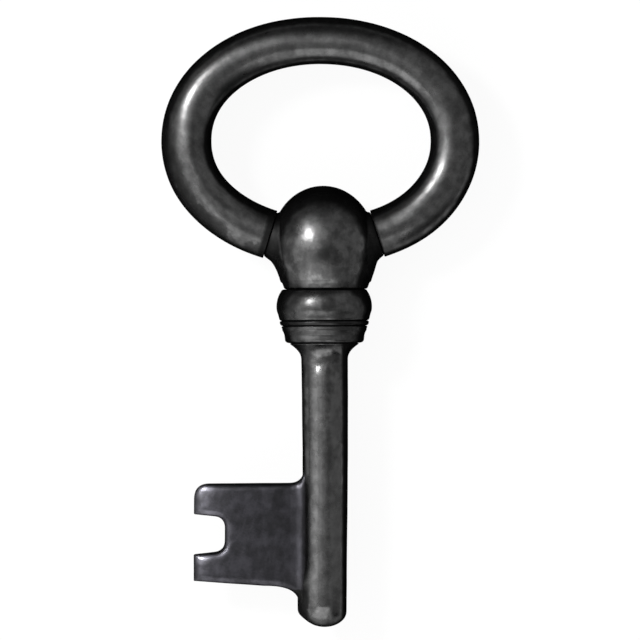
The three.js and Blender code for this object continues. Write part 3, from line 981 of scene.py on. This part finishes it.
def boss(side):
    """A boss that flares where it leaves the ball, on the right for 1 and the left for -1."""
    length = BOSS_OUTLINE[-1][1]
    profile = [(0, -length)] + [(radius, -depth) for radius, depth in reversed(BOSS_OUTLINE)]
    profile += [(BOSS_RADIUS, BOSS_PAST_SEAM), (0, BOSS_PAST_SEAM)]
    piece = turned("boss", profile)

    def flatten(places):
        places[:, 2] *= 1 - BOSS_FLATTENING * step_up(-places[:, 1], BOSS_OUTLINE[1][1], length)
        return places

    reshaped(piece, flatten)
    turn = Matrix.Rotation(seam_angle() - math.pi / 2, 4, "Z")
    piece.data.transform(Matrix.Translation((SEAM_FROM_AXIS, ball_station + SEAM_ABOVE_BALL, 0)) @ turn)
    if side < 0:
        piece.data.transform(Matrix.Rotation(math.pi, 4, "Y"))
    return piece


def knop_profile():
    """The neck's edge, the bulb and the half ball, from the foot up."""
    profile = line((0, 0), (NECK_RADIUS - NECK_EDGE, 0))
    profile += bend((NECK_RADIUS - NECK_EDGE, 0), (NECK_RADIUS, 0), (NECK_RADIUS, NECK_EDGE), 5)
    middle = KNOP_TO_BALL - BALL_DROP
    profile += bend((NECK_RADIUS, NECK_EDGE), BULB_CONTROL, (BALL_RADIUS, middle))
    return profile + arc((0, middle), (BALL_RADIUS, BALL_RADIUS + BALL_DROP), 0, 90, 40)


def knop_tone(places):
    """Black as painted shade on both sides of the ball, with some patina where it meets the bosses,
    and around the neck's foot, with a painted reflection as a lighter patch low on the bulb, and two
    dark patches: painted shade on the bulb, and partly patina, partly painted shade on the ball."""
    x, y = places[:, 0], places[:, 1]
    body = knop_profile()[1:]
    limit = np.interp(y - knop_base, [point[1] for point in body], [point[0] for point in body])
    # Painted shade: the ball's sides and the bosses go black, more so towards the neck
    share = x / np.maximum(limit, NECK_EDGE)
    spread = BULB_BLACK_SPREAD * step_up(ball_station - y, *BULB_BLACK_BELOW)
    black = step_up(share + spread, *BALL_RIGHT_ACROSS) + step_up(-share, *BALL_LEFT_ACROSS)
    # Painted shade around the neck's foot, where it meets the upper collar
    black = np.maximum(black, NECK_BLACK * (1 - step_up(y - knop_base, *NECK_BLACK_TOP)))
    # Painted reflection: a lighter patch low on the bulb
    brightness = patch(places, *BULB_REFLECTION) * (1 - step_up(x, *BULB_REFLECTION_END))
    # Painted shade on the bulb, and patina with painted shade on the ball
    dark = patch(places, *BULB_DARK) + patch(places, *BALL_DARK)
    return np.where(black > 0, -black, brightness - dark)


def make_knop(material):
    """The ball and its two bosses, cast in one."""
    ball = turned("ball", knop_profile(), base=knop_base)
    piece = cast_whole(joined("knop_cast", [ball, boss(1), boss(-1)]))

    def lean(places):
        """Leans the bulb and the ball a little to their sides, and moves the crest down."""
        above = places[:, 1] - ball_station
        share = step_up(-above, *BULB_LEAN_BELOW)
        share *= step_up(BULB_LEAN_HALF_WIDTH - np.abs(places[:, 0]), *BULB_LEAN_EDGE)
        places[:, 2] *= 1 - BALL_CREST_DOWN * above * band(above, 0, BALL_CREST_REACH)
        places[:, 0] += BULB_LEAN * share + BALL_LEAN * step_up(above, 0, BALL_LEAN_RISE)
        return places

    toned(piece, knop_tone)
    reshaped(piece, lean)
    return finished(piece, "knop_ball", "knop", material, swell=0.05, swell_size=5.0)


def collar_profile(height, outside):
    """A ring's closed profile, from the outer points between its two faces."""
    return line((COLLAR_BORE, 0), outside[0]) + outside + line(outside[-1], (COLLAR_BORE, height))


def collar(height, outside, base):
    """A turned ring that stands on a height over the shank's tip."""
    return turned("collar", collar_profile(height, outside), closed=True, base=base, passes=1)


def lower_collar_tone(places):
    """Painted highlights along the front of the lip and of the flare, and painted shade, blacker
    towards the sides.
    """
    x, y = places[:, 0], places[:, 1] - SHANK_LENGTH
    sides = COLLAR_BLACK * step_up(np.abs(x - COLLAR_BLACK_MIDDLE), *COLLAR_BLACK_ACROSS)
    # Painted highlights on the lip and the flare, and painted shade on the sides
    return spot(x, y, *LIP_HIGHLIGHT) + spot(x, y, *FLARE_HIGHLIGHT) - sides


def make_lower_collar(material):
    """A narrow lip, a shallow groove and a slope that flares upwards."""
    lip = [LOWER_LIP_FOOT] + arc(LOWER_LIP_CENTRE, LOWER_LIP_REACH, -90, 0)
    outside = lip + bend(*LOWER_GROOVE) + LOWER_SLOPE + LOWER_FLARE
    piece = collar(LOWER_COLLAR_HEIGHT, outside, SHANK_LENGTH)
    toned(piece, lower_collar_tone)
    return finished(piece, "lower_collar_beads", "lower_collar", material)


def make_ring(material):
    """The thin half-round ring between the two collars."""
    piece = collar(RING_HEIGHT, RING_OUTLINE, ring_base)
    return finished(piece, "collar_ring_bead", "collar_ring", material)


def upper_collar_tone(places):
    """One dark patch on the barrel, and a lighter one on its right."""
    return patch(places, *BARREL_LIGHTER) - patch(places, *BARREL_DARK)


def make_upper_collar(material):
    """A narrow lip, a barrel bead, a hollow slope and a thin rim."""
    outside = UPPER_LIP + bend(*BARREL_RISE) + bend(*BARREL_FALL) + bend(*UPPER_HOLLOW) + UPPER_RIM
    piece = collar(UPPER_COLLAR_HEIGHT, outside, upper_base)
    toned(piece, upper_collar_tone)
    return finished(piece, "upper_collar_barrel", "upper_collar", material)


def stem_profile(grow=0.0):
    """The outline of the shank below its shoulder."""
    cove_foot = SHANK_LENGTH - SHOULDER_COVE
    tip_radius, top_radius = SHANK_TIP_RADIUS + grow, SHANK_TOP_RADIUS + grow
    shoulder = (SHOULDER_RADIUS + grow, SHANK_LENGTH)
    profile = arc((0, TIP_DOME_HEIGHT), (tip_radius, TIP_DOME_HEIGHT + grow), -90, 0, 30)
    profile += line((tip_radius, TIP_DOME_HEIGHT), (top_radius, cove_foot))
    profile += bend((top_radius, cove_foot), (top_radius, SHANK_LENGTH - SHOULDER_COVE / 2), shoulder)
    return profile + line(shoulder, (0, SHANK_LENGTH))


def lean_to_bit(places):
    """Leans the shank's lower half a little towards the bit."""
    places[:, 0] += TIP_LEAN * (1 - step_up(places[:, 1], 0, LEAN_START))
    return places


def stretch_heel(places):
    """Draws the end of the shank out under the bit, where it was left fuller."""
    across = np.clip(-places[:, 0] / SHANK_TIP_RADIUS, 0, 1)
    share = step_up(places[:, 1], *HEEL_RISE) * (1 - step_up(places[:, 1], *HEEL_RUN_OUT))
    places[:, 0] -= HEEL_OFFSET * share * across ** HEEL_SHARPNESS
    return places


def stem(name, grow=0.0):
    """The shank's stem before it leans to the bit, or the cutter for the bit's saddle."""
    return reshaped(turned(name, stem_profile(grow), passes=2), stretch_heel)


def thin_tip(places):
    """Thins the end of the shank from front to back."""
    low = np.clip(1 - places[:, 1] / TIP_FACET_HEIGHT, 0, 1)
    places[:, 2] *= 1 - TIP_FACET_DEPTH * low ** TIP_FACET_CURVE
    return places


def dent_under_cove(places):
    """A shallow dent in front, just under the cove."""
    dent = spot(places[:, 0], places[:, 1], DENT_PLACE, DENT_REACH, DENT_DEPTH)
    places[:, 2] -= dent * (places[:, 2] > 0)
    return places


def shank_tone(places):
    """Black as painted shade down the right side, on the heel and a little on the left flank, with a
    stripe of painted shade right of the middle and a patch of it in the cove, and a painted highlight
    a little left of the middle."""
    x, y = places[:, 0], places[:, 1]
    # Painted shade down the right side, on the heel, the left flank, in a stripe and in the cove
    right = step_up(x / SHANK_TOP_RADIUS, *SHANK_BLACK_ACROSS)
    heel = HEEL_BLACK * step_up(-x, *HEEL_BLACK_ACROSS) * (1 - step_up(y, *HEEL_BLACK_TOP))
    flank = FLANK_BLACK * step_up(-x, *FLANK_BLACK_ACROSS)
    stripe = band(x, *STRIPE_BLACK)
    cove = patch(places, *COVE_BLACK)
    # Painted highlight a little left of the middle
    return band(x, *SHANK_HIGHLIGHT) - np.maximum.reduce([right, heel, flank, stripe, cove])


def make_shank(material):
    """The stem, thinned at its tip, dented under the cove and leaning to the bit."""
    piece = cast_whole(stem("shank_cast"))
    reshaped(piece, thin_tip)
    reshaped(piece, dent_under_cove)
    toned(piece, shank_tone)
    reshaped(piece, lean_to_bit)
    return finished(piece, "shank_stem", "shank", material, swell=0.08, swell_size=5.0)


def bit_outline():
    """The bit seen from the front, with its root inside the shank."""
    root = -(SHANK_TIP_RADIUS - ROOT_SINK)
    heel = -(SHANK_TIP_RADIUS + HEEL_OFFSET - HEEL_SINK)
    floor = NOTCH_DEPTH - BIT_REACH
    top = BIT_TOP + ROOT_FILLET
    heel_top = BIT_FOOT - BIT_FOOT_FALL
    heel_foot = heel_top - HEEL_FILLET_HEIGHT
    outer, mouth_top = (-BIT_REACH, BIT_TOP), (-BIT_REACH, NOTCH_TOP)
    floor_top, floor_foot = (floor, NOTCH_TOP - NOTCH_TAPER), (floor, NOTCH_FOOT + NOTCH_TAPER)
    mouth_foot, foot = (-BIT_REACH, NOTCH_FOOT), (-BIT_REACH, BIT_FOOT)
    outline = [(ROOT_PAST_AXIS, top + ROOT_OVERRUN), (root, top + ROOT_OVERRUN)]
    outline += corner((root, top), (root, BIT_TOP), outer, ROOT_FILLET)
    outline += corner((root, BIT_TOP), outer, mouth_top, BIT_CORNER) + [mouth_top]
    outline += corner(mouth_top, floor_top, floor_foot, NOTCH_CORNER)
    outline += corner(floor_top, floor_foot, mouth_foot, NOTCH_CORNER)
    outline += [mouth_foot, foot]
    outline += bend((heel - HEEL_FILLET_LENGTH, heel_top), (heel, heel_top), (heel, heel_foot))
    return outline + [(ROOT_PAST_AXIS, heel_foot)]


def drawn_in(outline, distance):
    """The outline moved inwards, each corner along its own mitre."""
    points = np.array(outline)
    ahead = np.roll(points, -1, 0) - points
    ahead /= np.linalg.norm(ahead, axis=1)[:, None]
    behind = np.roll(ahead, 1, 0)
    normal_ahead = np.c_[-ahead[:, 1], ahead[:, 0]]
    normal_behind = np.c_[-behind[:, 1], behind[:, 0]]
    mitre = (normal_ahead + normal_behind) / (1 + (normal_ahead * normal_behind).sum(1))[:, None]
    return points + mitre * distance


def pillow_plate(outline, half, depth, width, steps=8):
    """A plate whose edges are rounded further in than down."""
    rings = []
    for side in (-1, 1):
        angles = np.linspace(0, math.pi / 2, steps + 1)
        angles = angles[::-1] if side < 0 else angles
        for angle in angles:
            inset = width * (1 - math.cos(angle))
            height = side * (half - depth + depth * math.sin(angle))
            rings.append([(x, y, height) for x, y in drawn_in(outline, inset)])
    count = len(outline)
    faces = [tuple(range(count)), tuple(range((len(rings) - 1) * count, len(rings) * count))]
    for ring in range(len(rings) - 1):
        low, high = ring * count, (ring + 1) * count
        for i in range(count):
            j = (i + 1) % count
            faces.append((low + i, low + j, high + j, high + i))
    return mesh_object("plate", [v for ring in rings for v in ring], faces)


def shape_bit(places):
    """Swells the root towards the shank, and domes the bit towards its outer end."""
    x = places[:, 0]
    root = band(x, ROOT_SWELL_PLACE, ROOT_SWELL_REACH, ROOT_SWELL_HEIGHT)
    end = BIT_DOMING * np.minimum(x - BIT_CREST, ROOT_DOME_END - BIT_CREST) ** 2
    near_end = np.clip(1 - (BIT_REACH + x) / BIT_END_ROUND_WIDTH, 0, 1)
    end += BIT_END_ROUND * near_end ** 2
    places[:, 2] *= 1 + (root - end) / BIT_HALF_THICKNESS
    return places


def bit_tone(places):
    """Painted light towards the outer end, most on the upper prong, painted highlights at two corners
    and a little at the root, darker between, and painted shade, black, where the root runs out below."""
    x, y = places[:, 0], places[:, 1]
    # Painted light towards the outer end and the upper prong
    end = step_up(-x, *BIT_END_ACROSS)
    brightness = end * (BIT_END_LIGHT + PRONG_LIGHT * step_up(y, *PRONG_RISE))
    # Painted light at the root, less a darker middle
    brightness += ROOT_LIGHT * step_up(x, *ROOT_ACROSS) - patch(places, *BIT_MIDDLE_DARK)
    # Painted highlights at two corners
    brightness += patch(places, *UPPER_CORNER_HIGHLIGHT) + patch(places, *LOWER_CORNER_HIGHLIGHT)
    # Painted shade where the root runs out below
    black = step_up(ROOT_BLACK_TOP - y, 0, ROOT_BLACK_FADE) * (x > ROOT_BLACK_END)
    return np.where(black > 0, -black, brightness)


def make_bit(material):
    """The notched plate, cut to the round of the shank."""
    piece = pillow_plate(bit_outline(), BIT_HALF_THICKNESS, BIT_EDGE_DEPTH, BIT_EDGE_WIDTH)
    cast_whole(piece, BIT_SMOOTHING, BIT_VOXEL)
    reshaped(piece, shape_bit)
    cutter = stem("stem_cut", -SADDLE_OVERLAP)
    cut = piece.modifiers.new("Saddle", "BOOLEAN")
    cut.operation = "DIFFERENCE"
    cut.object = cutter
    baked(piece)
    bpy.data.objects.remove(cutter)
    toned(piece, bit_tone)
    reshaped(piece, lean_to_bit)
    return finished(piece, "bit_flag", "bit", material, swell=0.05)


# Floor, lamps and camera

def make_floor():
    """A white floor that keeps a faint shadow."""
    bpy.ops.mesh.primitive_plane_add(size=FLOOR_SIZE, location=(0, 0, 0))
    floor = bpy.context.object
    floor.name = "floor"
    material = bpy.data.materials.new("white_floor")
    material.use_nodes = True
    tree = material.node_tree
    link = tree.links.new
    diffuse = tree.nodes["Principled BSDF"]
    diffuse.inputs["Base Color"].default_value = FLOOR_COLOUR
    diffuse.inputs["Roughness"].default_value = FLOOR_ROUGHNESS
    glow = tree.nodes.new("ShaderNodeEmission")
    glow.inputs["Strength"].default_value = 1.0
    rays = tree.nodes.new("ShaderNodeLightPath")
    seen = plus(tree, rays.outputs["Is Camera Ray"], rays.outputs["Is Glossy Ray"])
    seen = plus(tree, seen, rays.outputs["Is Transmission Ray"], clamp=True)
    share = times(tree, seen, FLOOR_GLOW)
    mix = tree.nodes.new("ShaderNodeMixShader")
    link(share, mix.inputs["Fac"])
    link(diffuse.outputs[0], mix.inputs[1])
    link(glow.outputs[0], mix.inputs[2])
    link(mix.outputs[0], tree.nodes["Material Output"].inputs["Surface"])
    floor.data.materials.append(material)


def make_world():
    """A faint even light from all around."""
    world = bpy.data.worlds.new("studio")
    world.use_nodes = True
    sky = world.node_tree.nodes["Background"]
    sky.inputs["Color"].default_value = (1, 1, 1, 1)
    sky.inputs["Strength"].default_value = WORLD_LEVEL
    bpy.context.scene.world = world


def softbox(name, direction, distance, size, radiance):
    """A rectangular lamp that faces the key, set by how bright its face is."""
    lamp = bpy.data.lights.new(name, "AREA")
    lamp.shape = "RECTANGLE"
    lamp.size, lamp.size_y = size
    lamp.energy = radiance * math.pi * size[0] * size[1]
    holder = bpy.data.objects.new(name, lamp)
    place = Vector(direction).normalized() * distance
    holder.location = place
    holder.rotation_euler = place.to_track_quat("Z", "Y").to_euler()
    bpy.context.scene.collection.objects.link(holder)


def make_camera():
    """Looks straight down on the key, as the photograph does."""
    camera = bpy.data.cameras.new("camera")
    camera.sensor_width = SENSOR_WIDTH
    camera.lens = SENSOR_WIDTH * CAMERA_DISTANCE / (PICTURE * PIXEL * MM)
    camera.clip_start = 0.01
    camera.clip_end = 20.0
    holder = bpy.data.objects.new("camera", camera)
    holder.location = (CAMERA_X * MM, CAMERA_Y * MM, axis_z + CAMERA_DISTANCE)
    holder.rotation_euler = (0, 0, math.radians(CAMERA_ROLL))
    bpy.context.scene.collection.objects.link(holder)
    bpy.context.scene.camera = holder


make_camera()
make_floor()
make_world()
for lamp_name, lamp in LAMPS.items():
    softbox(lamp_name, *lamp)

cast_skin = build_cast_skin()
cast_grain = build_cast_grain()
rubbed_and_lit_faces = build_rubbed_and_lit_faces()
pewter_tone = build_pewter_tone()

# Side limits and bowward black paint shade: flanks black at the rims, slopes that face the bow darker
make_bow(pewter("bow_pewter", BOW_METAL, side_limit=0.73, bowward=0.05, shelter=2.5))
make_knop(pewter("knop_pewter", KNOP_METAL, side_limit=0.58, bowward=0.35, patchiness=0.4, shelter=1.0))
make_upper_collar(pewter("upper_collar_pewter", UPPER_COLLAR_METAL))
make_ring(pewter("collar_ring_pewter", RING_METAL))
make_lower_collar(pewter("lower_collar_pewter", LOWER_COLLAR_METAL))
make_shank(pewter("shank_pewter", SHANK_METAL, side_limit=0.4, roughness=0.24))
make_bit(pewter("bit_pewter", BIT_METAL, patchiness=0.5, roughness=0.33))

scene = bpy.context.scene
scene.view_settings.view_transform = "Standard"
